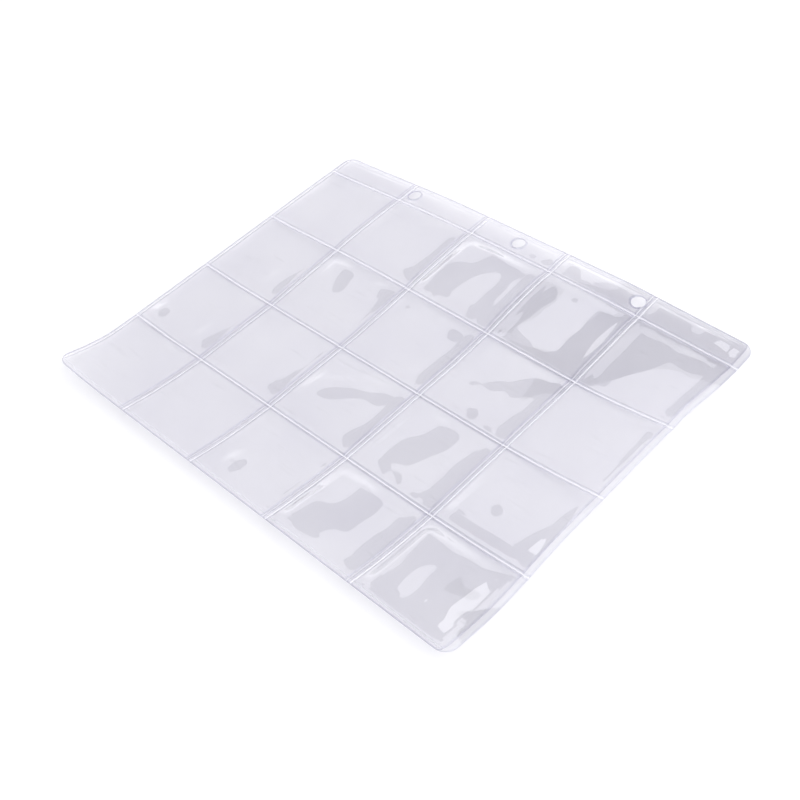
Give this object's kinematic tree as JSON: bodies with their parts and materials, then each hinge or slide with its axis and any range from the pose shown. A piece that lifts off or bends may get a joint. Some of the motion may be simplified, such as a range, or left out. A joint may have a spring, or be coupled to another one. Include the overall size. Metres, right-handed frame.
{
  "type": "coin album page",
  "caption": "Clear flexible coin album page with rows of welded pockets open at the top and a ring-punched binding margin.",
  "frame": {"origin": "middle of the page's outline, on its underside", "axes": "+X across the page, away from the binding margin; +Y up the page, towards the pocket mouths; +Z out of the pocket side"},
  "size_m": [0.194, 0.252, 0.0007],
  "materials": {
    "back_film": "clear glossy soft PVC film",
    "front_film": "clear glossy soft PVC film, gently wavy",
    "welded_film": "two clear films fused by a finely knurled weld"
  },
  "bodies": {
    "binding_margin": {"back_film_margin": "back_film", "front_strip_1_margin_end": "front_film", "front_strip_2_margin_end": "front_film", "front_strip_3_margin_end": "front_film", "front_strip_4_margin_end": "front_film", "front_strip_5_margin_end": "front_film"},
    "column_1": {"back_film_column_1": "back_film", "front_strip_1_border_1": "welded_film", "front_strip_2_border_1": "welded_film", "front_strip_3_border_1": "welded_film", "front_strip_4_border_1": "welded_film", "front_strip_5_border_1": "welded_film"},
    "column_2": {"back_film_column_2": "back_film", "front_strip_1_border_2": "welded_film", "front_strip_2_border_2": "welded_film", "front_strip_3_border_2": "welded_film", "front_strip_4_border_2": "welded_film", "front_strip_5_border_2": "welded_film"},
    "column_3": {"back_film_column_3": "back_film", "front_strip_1_border_3": "welded_film", "front_strip_2_border_3": "welded_film", "front_strip_3_border_3": "welded_film", "front_strip_4_border_3": "welded_film", "front_strip_5_border_3": "welded_film"},
    "column_4": {"back_film_column_4": "back_film", "front_strip_1_border_4": "welded_film", "front_strip_2_border_4": "welded_film", "front_strip_3_border_4": "welded_film", "front_strip_4_border_4": "welded_film", "front_strip_5_border_4": "welded_film"},
    "pocket_front_1_1": {"front_strip_1_pocket_1": "front_film"},
    "pocket_front_1_2": {"front_strip_1_pocket_2": "front_film"},
    "pocket_front_1_3": {"front_strip_1_pocket_3": "front_film"},
    "pocket_front_1_4": {"front_strip_1_pocket_4": "front_film"},
    "pocket_front_2_1": {"front_strip_2_pocket_1": "front_film"},
    "pocket_front_2_2": {"front_strip_2_pocket_2": "front_film"},
    "pocket_front_2_3": {"front_strip_2_pocket_3": "front_film"},
    "pocket_front_2_4": {"front_strip_2_pocket_4": "front_film"},
    "pocket_front_3_1": {"front_strip_3_pocket_1": "front_film"},
    "pocket_front_3_2": {"front_strip_3_pocket_2": "front_film"},
    "pocket_front_3_3": {"front_strip_3_pocket_3": "front_film"},
    "pocket_front_3_4": {"front_strip_3_pocket_4": "front_film"},
    "pocket_front_4_1": {"front_strip_4_pocket_1": "front_film"},
    "pocket_front_4_2": {"front_strip_4_pocket_2": "front_film"},
    "pocket_front_4_3": {"front_strip_4_pocket_3": "front_film"},
    "pocket_front_4_4": {"front_strip_4_pocket_4": "front_film"},
    "pocket_front_5_1": {"front_strip_5_pocket_1": "front_film"},
    "pocket_front_5_2": {"front_strip_5_pocket_2": "front_film"},
    "pocket_front_5_3": {"front_strip_5_pocket_3": "front_film"},
    "pocket_front_5_4": {"front_strip_5_pocket_4": "front_film"}
  },
  "joints": [
    {"name": "seam_bend_1", "type": "hinge", "parent": "binding_margin", "child": "column_1", "pos_m": [-0.083, 0, 0.00035], "axis": [0, 1, 0], "range_deg": [-60, 60], "stiffness_Nm_per_rad": 0.004},
    {"name": "seam_bend_2", "type": "hinge", "parent": "column_1", "child": "column_2", "pos_m": [-0.038, 0, 0.00035], "axis": [0, 1, 0], "range_deg": [-30, 30], "stiffness_Nm_per_rad": 0.004},
    {"name": "seam_bend_3", "type": "hinge", "parent": "column_2", "child": "column_3", "pos_m": [0.007, 0, 0.00035], "axis": [0, 1, 0], "range_deg": [-30, 30], "stiffness_Nm_per_rad": 0.004},
    {"name": "seam_bend_4", "type": "hinge", "parent": "column_3", "child": "column_4", "pos_m": [0.052, 0, 0.00035], "axis": [0, 1, 0], "range_deg": [-30, 30], "stiffness_Nm_per_rad": 0.004},
    {"name": "pocket_mouth_1_1", "type": "hinge", "parent": "column_1", "child": "pocket_front_1_1", "pos_m": [-0.0605, 0.07615, 0.0006], "axis": [1, 0, 0], "range_deg": [0, 8], "stiffness_Nm_per_rad": 0.001},
    {"name": "pocket_mouth_1_2", "type": "hinge", "parent": "column_2", "child": "pocket_front_1_2", "pos_m": [-0.0155, 0.07615, 0.0006], "axis": [1, 0, 0], "range_deg": [0, 8], "stiffness_Nm_per_rad": 0.001},
    {"name": "pocket_mouth_1_3", "type": "hinge", "parent": "column_3", "child": "pocket_front_1_3", "pos_m": [0.0295, 0.07615, 0.0006], "axis": [1, 0, 0], "range_deg": [0, 8], "stiffness_Nm_per_rad": 0.001},
    {"name": "pocket_mouth_1_4", "type": "hinge", "parent": "column_4", "child": "pocket_front_1_4", "pos_m": [0.0745, 0.07615, 0.0006], "axis": [1, 0, 0], "range_deg": [0, 8], "stiffness_Nm_per_rad": 0.001},
    {"name": "pocket_mouth_2_1", "type": "hinge", "parent": "column_1", "child": "pocket_front_2_1", "pos_m": [-0.0605, 0.02615, 0.0006], "axis": [1, 0, 0], "range_deg": [0, 8], "stiffness_Nm_per_rad": 0.001},
    {"name": "pocket_mouth_2_2", "type": "hinge", "parent": "column_2", "child": "pocket_front_2_2", "pos_m": [-0.0155, 0.02615, 0.0006], "axis": [1, 0, 0], "range_deg": [0, 8], "stiffness_Nm_per_rad": 0.001},
    {"name": "pocket_mouth_2_3", "type": "hinge", "parent": "column_3", "child": "pocket_front_2_3", "pos_m": [0.0295, 0.02615, 0.0006], "axis": [1, 0, 0], "range_deg": [0, 8], "stiffness_Nm_per_rad": 0.001},
    {"name": "pocket_mouth_2_4", "type": "hinge", "parent": "column_4", "child": "pocket_front_2_4", "pos_m": [0.0745, 0.02615, 0.0006], "axis": [1, 0, 0], "range_deg": [0, 8], "stiffness_Nm_per_rad": 0.001},
    {"name": "pocket_mouth_3_1", "type": "hinge", "parent": "column_1", "child": "pocket_front_3_1", "pos_m": [-0.0605, -0.02385, 0.0006], "axis": [1, 0, 0], "range_deg": [0, 8], "stiffness_Nm_per_rad": 0.001},
    {"name": "pocket_mouth_3_2", "type": "hinge", "parent": "column_2", "child": "pocket_front_3_2", "pos_m": [-0.0155, -0.02385, 0.0006], "axis": [1, 0, 0], "range_deg": [0, 8], "stiffness_Nm_per_rad": 0.001},
    {"name": "pocket_mouth_3_3", "type": "hinge", "parent": "column_3", "child": "pocket_front_3_3", "pos_m": [0.0295, -0.02385, 0.0006], "axis": [1, 0, 0], "range_deg": [0, 8], "stiffness_Nm_per_rad": 0.001},
    {"name": "pocket_mouth_3_4", "type": "hinge", "parent": "column_4", "child": "pocket_front_3_4", "pos_m": [0.0745, -0.02385, 0.0006], "axis": [1, 0, 0], "range_deg": [0, 8], "stiffness_Nm_per_rad": 0.001},
    {"name": "pocket_mouth_4_1", "type": "hinge", "parent": "column_1", "child": "pocket_front_4_1", "pos_m": [-0.0605, -0.07385, 0.0006], "axis": [1, 0, 0], "range_deg": [0, 8], "stiffness_Nm_per_rad": 0.001},
    {"name": "pocket_mouth_4_2", "type": "hinge", "parent": "column_2", "child": "pocket_front_4_2", "pos_m": [-0.0155, -0.07385, 0.0006], "axis": [1, 0, 0], "range_deg": [0, 8], "stiffness_Nm_per_rad": 0.001},
    {"name": "pocket_mouth_4_3", "type": "hinge", "parent": "column_3", "child": "pocket_front_4_3", "pos_m": [0.0295, -0.07385, 0.0006], "axis": [1, 0, 0], "range_deg": [0, 8], "stiffness_Nm_per_rad": 0.001},
    {"name": "pocket_mouth_4_4", "type": "hinge", "parent": "column_4", "child": "pocket_front_4_4", "pos_m": [0.0745, -0.07385, 0.0006], "axis": [1, 0, 0], "range_deg": [0, 8], "stiffness_Nm_per_rad": 0.001},
    {"name": "pocket_mouth_5_1", "type": "hinge", "parent": "column_1", "child": "pocket_front_5_1", "pos_m": [-0.0605, -0.12385, 0.0006], "axis": [1, 0, 0], "range_deg": [0, 8], "stiffness_Nm_per_rad": 0.001},
    {"name": "pocket_mouth_5_2", "type": "hinge", "parent": "column_2", "child": "pocket_front_5_2", "pos_m": [-0.0155, -0.12385, 0.0006], "axis": [1, 0, 0], "range_deg": [0, 8], "stiffness_Nm_per_rad": 0.001},
    {"name": "pocket_mouth_5_3", "type": "hinge", "parent": "column_3", "child": "pocket_front_5_3", "pos_m": [0.0295, -0.12385, 0.0006], "axis": [1, 0, 0], "range_deg": [0, 8], "stiffness_Nm_per_rad": 0.001},
    {"name": "pocket_mouth_5_4", "type": "hinge", "parent": "column_4", "child": "pocket_front_5_4", "pos_m": [0.0745, -0.12385, 0.0006], "axis": [1, 0, 0], "range_deg": [0, 8], "stiffness_Nm_per_rad": 0.001}
  ]
}
